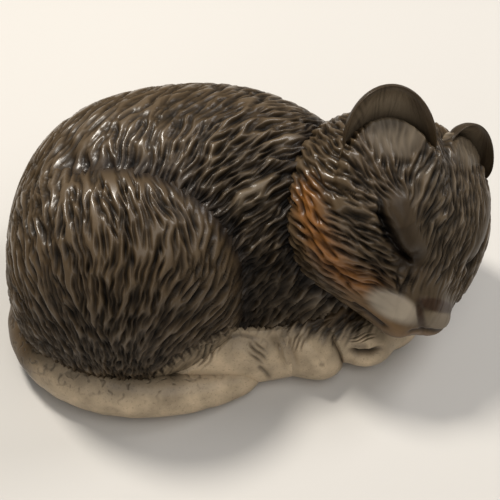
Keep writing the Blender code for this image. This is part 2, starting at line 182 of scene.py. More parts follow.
def head_form(p):
    """Distance outside the head: skull and muzzle, each blended, then blended together."""
    skull = depth(p, (SKULL, LEFT_CHEEK, RIGHT_CHEEK, BRIDGE, RIGHT_JAW, LEFT_JAW), 8.0)
    muzzle = depth(p, (LEFT_WHISKER_PAD, RIGHT_WHISKER_PAD, CHIN), 3.0)
    return blend(skull, muzzle, 3.0)


def hind_form(p):
    """Distance outside the hind paw."""
    return depth(p, (HIND_FOOT, HIND_TOES), 5.0)


def right_fore_form(p):
    """Distance outside the nearer forepaw."""
    return depth(p, (RIGHT_WRIST, RIGHT_TOES), 4.0)


def left_fore_form(p):
    """Distance outside the other forepaw and its forearm."""
    return depth(p, (LEFT_WRIST, LEFT_TOES, LEFT_FOREARM), 4.0)


def on_floor(form, edge=1.5):
    """Cut a form flat at the floor with a rounded edge: the smooth greater of two depths."""
    return lambda p: -blend(-form(p), p[..., 2] - FLOOR, edge)


class Oval(NamedTuple):
    """An oval in the front view: its middle across and down, its half lengths and its angle."""

    u: float
    v: float
    long: float
    wide: float
    angle: float = 0.0


class Folds(NamedTuple):
    """A field of skin folds in an oval of the front view, and the pitch from fold to fold."""

    oval: Oval
    pitch: float


class Swell(NamedTuple):
    """A swell or cleft along a line in the front view: its height, half width and share of painted shade."""

    line: list
    height: float
    width: float
    shade_share: float


class Fur(NamedTuple):
    """Carved fur: directions marked in the front view, stroke pitch along and across, grooves.

    The strokes are counted on a ball of the given radius. A groove has a length and a half width.
    """

    marks: list
    along: float
    across: float
    radius: float
    long: float
    wide: float


# Directions of the fur in the front view, marked at points: across, down and angle
TRUNK_LIE = [
    (20, 250, 86), (40, 180, 76), (60, 140, 64), (85, 115, 50), (130, 100, 38), (190, 92, 34),
    (150, 140, 75), (130, 150, 80), (175, 140, 72), (205, 145, 55), (230, 130, 38), (250, 150, 33),
    (280, 140, 15), (290, 115, 12), (260, 190, 33), (275, 230, 43), (285, 265, 50), (260, 260, 40),
    (270, 300, 45), (250, 320, 55), (290, 310, 50), (100, 180, 95), (60, 220, 98), (30, 300, 97),
    (45, 335, 115),
]
HAUNCH_LIE = [
    (110, 200, 116), (143, 215, 112), (160, 200, 116), (187, 222, 108), (207, 250, 80), (170, 250, 85),
    (125, 255, 82), (150, 283, 64), (183, 310, 48), (215, 290, 62), (205, 325, 42), (165, 345, 52),
    (130, 305, 70), (130, 350, 72), (100, 290, 82), (67, 283, 106), (33, 300, 110), (60, 320, 112),
    (95, 345, 98), (50, 250, 100), (70, 205, 99), (90, 235, 102),
]
HEAD_LIE = [
    (340, 163, 150), (347, 203, 160), (357, 243, 155), (362, 265, 157), (310, 203, 118), (313, 237, 130),
    (330, 270, 148), (313, 163, 115), (337, 137, 120), (430, 203, 62), (440, 237, 65), (447, 265, 66),
    (467, 203, 87), (480, 187, 98), (477, 237, 80), (467, 257, 70), (423, 165, 72), (447, 153, 98),
    (390, 160, 90), (440, 280, 65), (375, 180, 135),
]
TRUNK_FUR = Fur(TRUNK_LIE, along=7.2, across=1.85, radius=60.0, long=8.4, wide=0.95)
HAUNCH_FUR = Fur(HAUNCH_LIE, along=6.6, across=1.7, radius=43.0, long=7.4, wide=0.90)
HEAD_FUR = Fur(HEAD_LIE, along=5.8, across=1.6, radius=36.0, long=6.6, wide=0.86)
PAW_FUR = Fur(TRUNK_LIE, along=6.0, across=1.6, radius=22.0, long=7.0, wide=0.95)

# How deep the grooves are, and the carved height at which a surface keeps to its form
TRUNK_GROOVE = 1.9
FLANK_GROOVE = 1.5
HAUNCH_GROOVE = 1.8
HEAD_GROOVE = 1.6
CHEEK_GROOVE = 0.5
PAW_GROOVE = 1.2
RIDGE_LEVEL = 0.75
UNSEEN_LEVEL = 0.5
GROOVES_START = (0.5, 4.0)

# How unevenly the strokes lie
FEWEST_IN_ROW = 6
SHIFT_ROUND = 0.45
SHIFT_DOWN = 0.6
LOOSE_TURN = 0.09
WAVY_TURN = 0.12
LONG_RANGE = (0.55, 1.35)
WIDE_RANGE = (0.70, 1.30)
SHALLOWEST = 0.22
BOLD_SHARE = 0.35
POINTS_AT_ONCE = 2000

# Where trunk and haunch run into each other over the rump, and where the crease between them starts
RUMP_MERGE = 12.0
RUMP_MERGE_X = (-44.0, -56.0)
CREASE_X = (-54.0, -46.0)

# Depth in a neighbour, and height above the floor, down to which fur is carved
TRUNK_SEEN = -2.5
HAUNCH_SEEN = -4.0
HEAD_SEEN = -1.5
SEEN_ABOVE = 0.3

# Distance from a neighbour at which painted shade in a crease starts, and at which it is full
FLANK_CREASE = (5.0, 0.5)
NECK_CREASE = (6.0, 0.5)
HAUNCH_CREASE = (2.0, 0.2)

# Calmer fur: over the back of the trunk, and on the lip of the haunch beside the crease
BACK_CALM = 0.45
BACK_CALM_Y = (18.0, 42.0)
LIP = (4.0, 1.0)
LIP_X = (-52.0, -40.0)

# Carved height that is painted where the fur fades into smooth skin
HAUNCH_LEVEL = 0.72
HEAD_LEVEL = 0.80
PAW_LEVEL = 0.88

# Folds of the bare skin, and the share of painted shade in the paws' folds
FOOT_SINK = 0.6
FOOT_FOLD_DEPTH = 0.6
PAW_FOLD_DEPTH = 0.8
PAW_FOLD_SHADE = 0.55

# Features in the front view
FLANK_ACROSS = (185.0, 240.0)
FLANK_DOWN = (110.0, 170.0)
EYE_SLIT = [(379, 199), (383, 218), (390, 236), (400, 251), (412, 262)]
EYE_LID = [(399, 205), (406, 228), (413, 248)]
NEAR_PAD = Oval(393, 306, 27, 12.5, -27)
FAR_PAD = Oval(438, 320, 15, 9, -10)
NOSE = Oval(436, 305, 18, 6, -12)
CLEFT = Oval(420.5, 316, 3.5, 15, 8)
# Painted light: where the crown of the head is painted lighter
LIT_CROWN = Oval(450, 212, 42, 62)
RIGHT_EAR_FLOOR = Oval(396, 129, 30, 28)
LEFT_EAR_FLOOR = Oval(468, 148, 15, 20)
FOOT_EDGE_ACROSS = [140, 150, 170, 195, 222, 240]
FOOT_EDGE_DOWN = [402, 382, 366, 350, 336, 326]
FOOT_FOLDS = Folds(Oval(207, 352, 24, 13, 62), 5.5)
FOOT_GREY = Oval(250, 338, 48, 48)
FUR_EDGE_ACROSS = [190, 217, 240, 285, 335, 352, 375, 400]
FUR_EDGE_DOWN = [352, 328, 318, 328, 336, 332, 322, 310]
HIND_FOLDS = [FOOT_FOLDS, Folds(Oval(258, 352, 15, 11, -50), 6.0), Folds(Oval(286, 345, 9, 12, 75), 5.0)]
RIGHT_FOLDS = [Folds(Oval(298, 343, 12, 9, 55), 5.0)]
LEFT_FOLDS = [Folds(Oval(362, 338, 16, 6, 15), 3.6)]
HIND_SWELLS = [
    Swell([(256, 364), (265, 372), (272, 381)], height=-0.8, width=2.0, shade_share=0.6),
    Swell([(274, 328), (284, 346), (292, 372)], height=-1.7, width=7.0, shade_share=0.35),
    Swell([(218, 340), (240, 334), (262, 339)], height=-0.5, width=2.2, shade_share=0.45),
    Swell([(205, 354), (240, 352), (268, 366)], height=1.1, width=10.0, shade_share=0.0),
]
RIGHT_SWELLS = [
    Swell([(294, 334), (312, 354), (328, 374)], height=1.7, width=9.0, shade_share=0.0),
    Swell([(280, 330), (288, 350), (296, 374)], height=-1.5, width=6.0, shade_share=0.4),
    Swell([(334, 330), (345, 350), (352, 372)], height=-2.0, width=6.0, shade_share=0.7),
    Swell([(318, 362), (321, 363), (324, 364)], height=-0.6, width=2.0, shade_share=0.4),
]
LEFT_SWELLS = [
    Swell([(345, 349), (358, 353), (370, 352), (386, 345)], height=-2.0, width=2.2, shade_share=1.0),
    Swell([(347, 347), (362, 347), (370, 347)], height=-0.7, width=4.0, shade_share=0.4),
    Swell([(348, 360), (366, 361), (384, 354)], height=0.9, width=5.0, shade_share=0.0),
    Swell([(348, 340), (364, 338), (380, 340)], height=0.6, width=5.0, shade_share=0.0),
]

# Features that run out of the front view, as directions in the head's frame
FAR_SLIT = [(5, 26, 15), (11, 24, 12.5), (17, 19.5, 9), (20, 16, 6)]
FAR_LID = [(6, 22.5, 18), (12, 20, 15.5), (18, 15.5, 11)]
EYE_CORNER = [(21.5, -9.5, 9.2), (20.5, -7.0, 10.5)]
MOUTH = [(24, -16, -7), (30, -10, -5.8), (35, -2.5, -4.2), (36, 3, -3.7), (34, 8, -4.5), (28, 14, -6.5)]
CHEEK = [
    (-9, -31, 8.4), (-2.4, -33, 6.6), (6, -33, 4.6), (14, -29.7, 2.8), (20.6, -23.7, 0.3), (25, -16.5, -1),
]
JAW = [(25, -17.5, -5.5), (31, -11.5, -5), (34.5, -7, -5), (36, 1, -6.5), (33, 9, -7)]
FAR_AWAY = 99.0
MUZZLE_X = (23.0, 30.0)
CHEEK_Y = (-6.0, -24.0)

# Rise, depth and spread of the face's features
LID_RISE = 1.3
LID_SPREAD = 13.0
FAR_LID_RISE = 1.0
FAR_LID_SPREAD = 3.6
SLIT_DEPTH = 3.0
SLIT_NARROW = 2.0
SLIT_SWELL = 3.5
FAR_SLIT_DEPTH = 1.8
FAR_SLIT_SPREAD = 1.1
CORNER_DEPTH = 1.6
CORNER_SPREAD = 2.6
MOUTH_DEPTH = 0.9
MOUTH_SPREAD = 0.7
PAD_RISE = 0.5
FAR_PAD_RISE = 0.3
NOSE_RISE = 0.2
CLEFT_DEPTH = 0.6
CHEEK_SPREAD = 4.2
JAW_SPREAD = 3.4

# Tail: two quarter ovals round the haunch
TAIL_MIDDLE = (-30.0, -12.0)
TAIL_REACH_BACK = 36.5
TAIL_REACH_HEAD = 44.0
TAIL_REACH_FRONT = 28.0
TAIL_START = 150.0
TAIL_TURN = 168.0
TAIL_ROOT = 9.0
TAIL_TIP = 3.5
TAIL_FULLNESS = 2.8
TAIL_SINK = 0.94
TAIL_ROUNDING = 0.06
TAIL_RIPPLE = 0.06
TAIL_ROWS = 241
TAIL_COLS = 96


def front_view(points):
    """Where points lie in the front view: across from the left and down, in 500ths of its width."""
    away = points - EYE
    far = away @ AHEAD
    across = VIEW_MIDDLE + VIEW_SCALE * away[..., 0] / far
    return across, VIEW_MIDDLE - VIEW_SCALE * (away @ UPWARD) / far


def turned(points, oval):
    """Where points lie along and across an oval of the front view."""
    u, v = front_view(points)
    c, s = math.cos(math.radians(oval.angle)), math.sin(math.radians(oval.angle))
    u, v = u - oval.u, v - oval.v
    return u * c - v * s, u * s + v * c


def spot(points, oval):
    """Distance from an oval in the front view, in shares of its half lengths: 1 on its edge."""
    along, across = turned(points, oval)
    return np.hypot(along / oval.long, across / oval.wide)


def folds(points, field):
    """Fine skin folds in an oval of the front view: narrow valleys of a cosine, swayed by a sine."""
    along, across = turned(points, field.oval)
    swayed = across + 1.6 * np.sin(along * 0.21) + 0.05 * along ** 2 / field.oval.long
    wave = np.cos(2.0 * np.pi * swayed / field.pitch)
    return (0.5 + 0.5 * wave) ** 3 * smooth(1.0, 0.4, spot(points, field.oval))


def facing_front(out):
    """Share of a surface that the front view sees: 1 where it faces the eye, 0 where it turns away."""
    return smooth(0.15, -0.05, out @ AHEAD)


def flank_of(points):
    """Where the flank beside the haunch is cut boldest and given painted highlight: 1 right of it and below
    the back.
    """
    u, v = front_view(points)
    return smooth(*FLANK_ACROSS, u) * smooth(*FLANK_DOWN, v)


def fur_edge(points):
    """How far the dark fur of the chest and haunch comes down over the paws in the front view."""
    u, v = front_view(points)
    edge = np.interp(u, FUR_EDGE_ACROSS, FUR_EDGE_DOWN)
    slant = u + 0.5 * v
    fringe = 3.0 * np.sin(0.45 * slant + 1.3 * np.sin(0.17 * u)) + 2.0 * np.sin(1.07 * slant)
    return smooth(13.0, -9.0, v - edge - fringe)


def foot_edge(points):
    """Where the bare skin of the foot runs up over the haunch's lower right in the front view."""
    u, v = front_view(points)
    edge = np.interp(u, FOOT_EDGE_ACROSS, FOOT_EDGE_DOWN)
    slant = u - 0.6 * v
    fringe = 3.0 * np.sin(0.5 * slant + 1.2 * np.sin(0.2 * u)) + 2.0 * np.sin(1.1 * slant)
    return smooth(-5.0, 6.0, v - edge - fringe)


def slope(form, points):
    """Outward direction of a form: its depth's differences over a tenth of a millimetre."""
    steps = 0.05 * np.eye(3)
    return unit(np.stack([form(points + d) - form(points - d) for d in steps], -1))


def lie(points, out, marks):
    """Stroke directions: angles marked in the front view, weighted by nearness to the fourth."""
    u, v = front_view(points)
    marks = np.asarray(marks, float)
    weight = ((u[:, None] - marks[:, 0]) ** 2 + (v[:, None] - marks[:, 1]) ** 2 + 60.0) ** -2
    twice = np.radians(2.0 * marks[:, 2])
    angle = 0.5 * np.arctan2((weight * np.sin(twice)).sum(1), (weight * np.cos(twice)).sum(1))
    flat = np.cos(angle)[:, None] * np.array([1.0, 0.0, 0.0]) + np.sin(angle)[:, None] * UPWARD
    facing = -np.abs(out @ AHEAD)
    slip = (flat * out).sum(1) * facing / (facing ** 2 + 0.004)
    way = flat - slip[:, None] * AHEAD
    return unit(way - out * (way * out).sum(1)[:, None])


def rays(pole, seam, theta, phi):
    """Unit directions: cos(theta) along the pole plus sin(theta) round it from the seam."""
    axis = unit(pole)
    side = np.asarray(seam, float)
    side = unit(side - axis * (side @ axis))
    third = np.cross(axis, side)
    ring = np.cos(phi)[..., None] * side + np.sin(phi)[..., None] * third
    return np.cos(theta)[..., None] * axis + np.sin(theta)[..., None] * ring


def reach(form, core, way):
    """Length along each ray at which the form's depth passes zero, found by halving."""
    near = np.zeros(way.shape[:-1])
    far = np.full(way.shape[:-1], 110.0)
    for _ in range(28):
        middle = (near + far) / 2.0
        inside = form(core + way * middle[..., None]) < 0.0
        near = np.where(inside, middle, near)
        far = np.where(inside, far, middle)
    return near


def outward(grid):
    """Normals of a closed grid: the cross product of its differences down and round."""
    down = np.gradient(grid, axis=0)
    along = np.roll(grid, -1, 1) - np.roll(grid, 1, 1)
    n = np.cross(down, along)
    n[0] = n[1].mean(0)
    n[-1] = n[-2].mean(0)
    return unit(n)


class Ball:
    """A grid of points on a form: theta runs from pole to pole, phi round, crowded off the seam."""

    def __init__(self, form, core, pole, seam, rows, cols, crowd, lean=0.0, waist=0.0):
        self.form, self.core = form, np.array(core, float)
        self.pole, self.seam = np.array(pole, float), np.array(seam, float)
        t = np.linspace(0.0, 1.0, rows + 1)
        s = np.linspace(0.0, 2.0 * np.pi, cols, endpoint=False)
        theta = np.pi * (t + lean * (t * t - t)) + 0.5 * waist * np.sin(2.0 * np.pi * t)
        theta, phi = np.meshgrid(theta, s + crowd * np.sin(s), indexing="ij")
        self.points = self.at(theta, phi)
        self.out = outward(self.points)

    def at(self, theta, phi):
        """Points of the form along the rays of two angles."""
        way = rays(self.pole, self.seam, theta, phi)
        return self.core + way * reach(self.form, self.core, way)[..., None]


def strokes(ball, fur, bold=None):
    """Scatter stroke places in staggered rows and lay each one in its marked direction."""
    rows = int(np.pi * fur.radius / fur.along)
    theta, phi = [], []
    for row in range(rows):
        middle = (row + 0.5) * np.pi / rows
        count = max(int(2.0 * np.pi * fur.radius * math.sin(middle) / fur.across), FEWEST_IN_ROW)
        step = 2.0 * np.pi / count
        phi.append((np.arange(count) + RNG.random() + RNG.uniform(-SHIFT_ROUND, SHIFT_ROUND, count)) * step)
        theta.append(middle + RNG.uniform(-SHIFT_DOWN, SHIFT_DOWN, count) * np.pi / rows)
    theta = np.clip(np.concatenate(theta), 0.02, np.pi - 0.02)
    seat = ball.at(theta, np.concatenate(phi))
    if bold is not None:
        seat = seat[RNG.random(len(seat)) > BOLD_SHARE * bold(seat)]
    out = slope(ball.form, seat)
    way = lie(seat, out, fur.marks)
    side = np.cross(out, way)
    bend = WAVY_TURN * np.sin(seat[:, 0] * 0.5 + seat[:, 2] * 0.4) + RNG.normal(0.0, LOOSE_TURN, len(seat))
    return seat, unit(way * np.cos(bend)[:, None] + side * np.sin(bend)[:, None])


def carve(points, seat, way, long, wide):
    """Height of carved fur at points: 0 in the nearest groove, rising to 1 on the ridges between.

    A groove's depth is (1 - r)^1.4, r^2 = (along / long)^2 + (across / wide)^2 + shallow in its own
    direction, so a groove is sharp and a ridge is round. The points are first swayed by small
    sines, so the grooves run a little wavy.
    """
    sway = 0.25 * np.sin(points[:, [1, 2, 0]] * 0.7) + 0.12 * np.sin(points[:, [2, 0, 1]] * 1.6 + 1.0)
    flat = (points + sway).astype(np.float32)
    seat, way = seat.astype(np.float32), way.astype(np.float32)
    long = (long * RNG.uniform(*LONG_RANGE, len(seat))).astype(np.float32)
    wide = (wide * RNG.uniform(*WIDE_RANGE, len(seat))).astype(np.float32)
    shallow = (SHALLOWEST * RNG.random(len(seat)) ** 2).astype(np.float32)
    nearest = np.empty(len(flat))
    offset = (seat * way).sum(1)
    square = (seat * seat).sum(1)
    for first in range(0, len(flat), POINTS_AT_ONCE):
        p = flat[first:first + POINTS_AT_ONCE]
        along = p @ way.T - offset
        far = (p * p).sum(1)[:, None] + square - 2.0 * (p @ seat.T)
        r_square = (along / long) ** 2 + (far - along ** 2) / wide ** 2 + shallow
        nearest[first:first + POINTS_AT_ONCE] = r_square.min(1)
    return 1.0 - np.maximum(1.0 - np.sqrt(np.maximum(nearest, 0.0)), 0.0) ** 1.4


def carved(ball, fur, seen, rest=UNSEEN_LEVEL, bold=None):
    """Height of a ball's carved fur where it is seen, with fewer and wider grooves where bold."""
    seat, way = strokes(ball, fur, bold)
    wide = fur.wide if bold is None else fur.wide + BOLD_SHARE * bold(seat)
    ridge = np.full(seen.shape, rest)
    ridge[seen] = carve(ball.points[seen], seat, way, fur.long, wide)
    return ridge


def line_distance(points, corners):
    """Distance from points to a chain of straight lines, and the share of the chain passed."""
    corners = np.asarray(corners, float)
    best = np.full(points.shape[:-1], 1e9)
    share = np.zeros(points.shape[:-1])
    for index in range(len(corners) - 1):
        a, b = corners[index], corners[index + 1]
        t = np.clip((points - a) @ (b - a) / ((b - a) @ (b - a)), 0.0, 1.0)
        away = np.linalg.norm(points - a - t[..., None] * (b - a), axis=-1)
        share = np.where(away < best, (index + t) / (len(corners) - 1), share)
        best = np.minimum(best, away)
    return best, share


def merge(points, out, other, wide, fill=0.25):
    """Swell a surface where it nears another, so they meet in a soft hollow: fill (1 - d/w)^2 w."""
    wide = np.maximum(wide, 1e-6)
    near = np.maximum(1.0 - np.abs(other(points)) / wide, 0.0)
    return points + out * (fill * near * near * wide)[..., None]


def make(name, grid, ridge, paint, marks):
    """Close a grid into a ball on the floor: its rows join round and its end rows shrink to poles."""
    rows, cols = grid.shape[:2]

    def close(values):
        body = values[1:-1].reshape((-1,) + values.shape[2:])
        ends = np.stack([values[0].mean(0), values[-1].mean(0)])
        return np.concatenate([body, ends])

    def keep(attribute, kind, field, values):
        layer = mesh.attributes.new(attribute, kind, "POINT")
        layer.data.foreach_set(field, values.astype(np.float32).ravel())

    places = close(grid)
    places[:, 2] = np.maximum(places[:, 2], FLOOR)
    a = np.arange((rows - 3) * cols).reshape(rows - 3, cols)
    b = np.roll(a, -1, 1)
    quads = np.stack([a, a + cols, b + cols, b], -1).reshape(-1, 4)
    ring = np.arange(cols)
    after = np.roll(ring, -1)
    last = (rows - 3) * cols
    count = (rows - 2) * cols
    top = np.stack([np.full(cols, count), ring, after], -1)
    end = np.stack([last + ring, np.full(cols, count + 1), last + after], -1)
    mesh = bpy.data.meshes.new(name)
    mesh.from_pydata((places * MM).tolist(), [], quads.tolist() + top.tolist() + end.tolist())
    mesh.polygons.foreach_set("use_smooth", np.ones(len(mesh.polygons), bool))
    down, along = np.meshgrid(np.linspace(0, 1, rows), np.linspace(0, 1, cols), indexing="ij")
    keep("paint", "FLOAT_COLOR", "color", np.concatenate([close(paint), np.ones((count + 2, 1))], axis=1))
    keep("ridge", "FLOAT", "value", close(ridge))
    keep("marks", "FLOAT", "value", close(marks))
    keep("flow", "FLOAT_VECTOR", "vector", close(np.stack([along, down, np.zeros_like(down)], -1)))
    mesh.update()
    piece = bpy.data.objects.new(name, mesh)
    bpy.context.scene.collection.objects.link(piece)
    return piece


class Wire:
    """A shader socket that adds, subtracts, multiplies and raises like a number."""

    def __init__(self, tree, socket=None):
        self.tree, self.socket = tree, socket

    def node(self, kind, settings, sockets, out=0):
        """Make any node: its type, its settings, its input sockets and the output to carry on with."""
        made = self.tree.nodes.new(kind)
        for key, value in settings.items():
            setattr(made, key, value)
        for key, value in sockets.items():
            if isinstance(value, Wire):
                self.tree.links.new(value.socket, made.inputs[key])
            else:
                made.inputs[key].default_value = value
        return Wire(self.tree, made.outputs[out] if len(made.outputs) else None)

    def maths(self, operation, first, second):
        return self.node("ShaderNodeMath", {"operation": operation}, {0: first, 1: second})

    def __add__(self, other):
        return self.maths("ADD", self, other)

    def __radd__(self, other):
        return self.maths("ADD", other, self)

    def __sub__(self, other):
        return self.maths("SUBTRACT", self, other)

    def __rsub__(self, other):
        return self.maths("SUBTRACT", other, self)

    def __mul__(self, other):
        return self.maths("MULTIPLY", self, other)

    def __rmul__(self, other):
        return self.maths("MULTIPLY", other, self)

    def __pow__(self, other):
        return self.maths("POWER", self, other)

    def __abs__(self):
        return self.maths("ABSOLUTE", self, 0.0)

    def clamp(self):
        return self.node("ShaderNodeClamp", {}, {0: self})

    def attribute(self, name, out="Fac"):
        return self.node("ShaderNodeAttribute", {"attribute_name": name}, {}, out=out)

    def noise(self, scale, detail, where=None):
        """Noise over the piece's own coordinates, or over other ones that are given."""
        where = where or self.node("ShaderNodeTexCoord", {}, {}, out="Object")
        return self.node("ShaderNodeTexNoise", {}, {"Vector": where, "Scale": scale, "Detail": detail})

    def mixed(self, share, first, second, kind="MIX"):
        """Mix two colours by a share."""
        settings = {"data_type": "RGBA", "blend_type": kind, "clamp_factor": True}
        return self.node("ShaderNodeMix", settings, {0: share, 6: first, 7: second}, out=2)

    def shaded(self, shade):
        """Darken the piece's own paint by a number."""
        grey = self.node("ShaderNodeCombineColor", {}, {0: shade, 1: shade, 2: shade})
        return self.mixed(1.0, self.attribute("paint", "Color"), grey, "MULTIPLY")

    def bump(self, strength, height):
        return self.node("ShaderNodeBump", {}, {"Strength": strength, "Distance": MM, "Height": height})

    def finish(self, sockets):
        """End the material in one shader with the given inputs."""
        shader = self.node("ShaderNodeBsdfPrincipled", {}, sockets)
        self.node("ShaderNodeOutputMaterial", {}, {"Surface": shader})


def empty_material(name):
    """Make a material without nodes, and a wire to fill it with."""
    material = bpy.data.materials.new(name)
    material.use_nodes = True
    material.node_tree.nodes.clear()
    return material, Wire(material.node_tree)


def coat_material(name, hairs=(220.0, 9.0), hair_depth=0.10, streak=0.15):
    """Satin paint: painted shade dark in the grooves, dry-brushing and painted highlight on the ridges, with
    fine hairlines.
    """
    gloss, speckle = 0.40, 0.25
    material, w = empty_material(name)
    ridge = w.attribute("ridge")
    flow = w.attribute("flow", "Vector")
    stretch = (hairs[0], hairs[1], 1.0)
    lines = w.node("ShaderNodeVectorMath", {"operation": "MULTIPLY"}, {0: flow, 1: stretch})
    hair = 0.5 + w.attribute("marks") * (w.noise(1.0, 3.0, lines) - 0.5)
    cloud = w.noise(70.0, 4.0)
    grain = w.noise(900.0, 3.0)
    # Painted shade: the paint darkens into the grooves; painted highlight: the ridge tops go lighter
    shade = 0.01 + 1.12 * ridge ** 2.2
    shade = shade * (1.0 - speckle + 2.0 * speckle * cloud) * (1.0 - streak + 2.0 * streak * hair)
    # Dry-brushed paint and painted highlight on the ridge tops
    brush_and_highlight = (ridge ** 8.0) * (0.08 + 0.30 * cloud) * (0.4 + 1.2 * hair)
    rough = gloss + 0.22 * (1.0 - ridge) + 0.16 * (cloud - 0.5) + 0.1 * grain
    w.finish({
        "Base Color": w.mixed(brush_and_highlight.clamp(), w.shaded(shade), DRY_BRUSH_AND_HIGHLIGHT),
        "Roughness": rough.clamp(),
        "Normal": w.bump(0.55, hair * hair_depth + grain * 0.035),
        "Coat Weight": (0.5 * ridge ** 4.0).clamp(),
        "Coat Roughness": 0.22,
        "Specular IOR Level": 0.14,
    })
    return material


def bare_material(name):
    """Beige paint on smooth paws and tail: clouded, speckled and scratched with fine squiggles, darker where
    the ridge value carries painted shade.
    """
    material, w = empty_material(name)
    ridge = w.attribute("ridge")
    cloud = w.noise(130.0, 4.0)
    swirl = w.noise(300.0, 0.5)
    broken = w.noise(480.0, 0.0)
    grain = w.noise(1600.0, 2.0)
    scratch = (1.0 - 12.0 * abs(swirl - 0.5)).clamp() * ((broken - 0.50) * 12.0).clamp()
    scratch = scratch * w.attribute("marks")
    speck = ((grain - 0.58) * 7.0).clamp()
    # Painted shade: darker where the ridge value is low, in clefts and folds
    shade = (0.06 + 1.04 * ridge ** 1.6) * (0.20 + 1.6 * cloud)
    shade = shade * (1.0 - 0.5 * scratch) * (1.0 - 0.28 * speck)
    rough = 0.45 + 0.3 * (cloud - 0.5) + 0.15 * scratch
    w.finish({
        "Base Color": w.shaded(shade),
        "Roughness": rough.clamp(),
        "Normal": w.bump(0.8, 0.35 * cloud + 0.05 * grain - 0.30 * scratch),
        "Coat Weight": 0.1,
        "Coat Roughness": 0.25,
        "Specular IOR Level": 0.3,
    })
    return material


def place(piece, node, material):
    """Let a piece ride on the part, stand for its solid and take its finish."""
    piece.data.materials.append(material)
    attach(piece, "root")
    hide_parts(node)


def rump_merge(ball, other):
    """Run a ball's surface into another's over the rump."""
    wide = RUMP_MERGE * smooth(*RUMP_MERGE_X, ball.points[..., 0])
    return merge(ball.points, ball.out, other, wide)


def build_trunk():
    """Back, flank and chest: meridians fall from the back of the shoulder to the front."""
    ball = Ball(on_floor(trunk_form), core=(-10, -4.5, 23), pole=(0.62, 0.68, 0.2), seam=(0, 0.2, -1),
                rows=219, cols=450, crowd=0.55, waist=0.4)
    p = rump_merge(ball, haunch_form)
    seen = (haunch_form(p) > TRUNK_SEEN) & (head_form(p) > TRUNK_SEEN) & (p[..., 2] > SEEN_ABOVE)
    ridge = carved(ball, TRUNK_FUR, seen, bold=flank_of)
    deep = (TRUNK_GROOVE + FLANK_GROOVE * flank_of(p)) * smooth(*GROOVES_START, p[..., 2])
    deep = deep * (1.0 - BACK_CALM * smooth(*BACK_CALM_Y, p[..., 1]))
    grid = p + ball.out * (deep * (ridge - RIDGE_LEVEL))[..., None]
    # Painted shade: near-black in the creases by the haunch and under the head
    crease = smooth(*FLANK_CREASE, haunch_form(p)) * smooth(*CREASE_X, p[..., 0])
    crease = np.maximum(crease, smooth(*NECK_CREASE, head_form(p)))
    # Painted highlight: the flank's ridges are painted lighter grey
    paint = mix(plain(p.shape[:-1], DARK), GREY, 0.6 * flank_of(p) * ridge ** 3)
    paint = mix(paint, BLACK_LINES_AND_SHADE, 0.85 * crease)
    return make("trunk_cast", grid, ridge, paint, np.ones(p.shape[:-1]))


def build_haunch():
    """Folded thigh: meridians fall from a pole inside the trunk to the floor."""
    ball = Ball(on_floor(haunch_form), core=(-36, -18, 25), pole=(1, 23, 36), seam=(0, 1, -0.4),
                rows=229, cols=430, crowd=0.5, waist=0.2)
    p = rump_merge(ball, trunk_form)
    near = trunk_form(ball.points)
    ridge = carved(ball, HAUNCH_FUR, (near > HAUNCH_SEEN) & (p[..., 2] > SEEN_ABOVE))
    lip = smooth(*LIP, near) * smooth(*LIP_X, p[..., 0])
    foot = foot_edge(p) * facing_front(ball.out)
    calm = (1.0 - 0.6 * lip) * (1.0 - 0.85 * foot)
    fold = foot * folds(p, FOOT_FOLDS)
    deep = HAUNCH_GROOVE * smooth(*GROOVES_START, p[..., 2]) * calm
    lift = deep * (ridge - RIDGE_LEVEL) - FOOT_FOLD_DEPTH * fold - FOOT_SINK * foot
    grid = p + ball.out * lift[..., None]
    ridge = HAUNCH_LEVEL + (ridge - HAUNCH_LEVEL) * (0.2 + 0.8 * calm)
    # Painted shade: the foot's folds are painted darker
    ridge = ridge - 0.35 * fold
    # Painted shade: near-black in the crease by the trunk
    crease = smooth(*HAUNCH_CREASE, near) * smooth(*CREASE_X, p[..., 0])
    paint = mix(plain(p.shape[:-1], DARK), BLACK_LINES_AND_SHADE, 0.8 * crease)
    paint = mix(paint, BEIGE * 0.8, 0.95 * foot)
    return make("haunch_cast", grid, ridge, paint, calm)


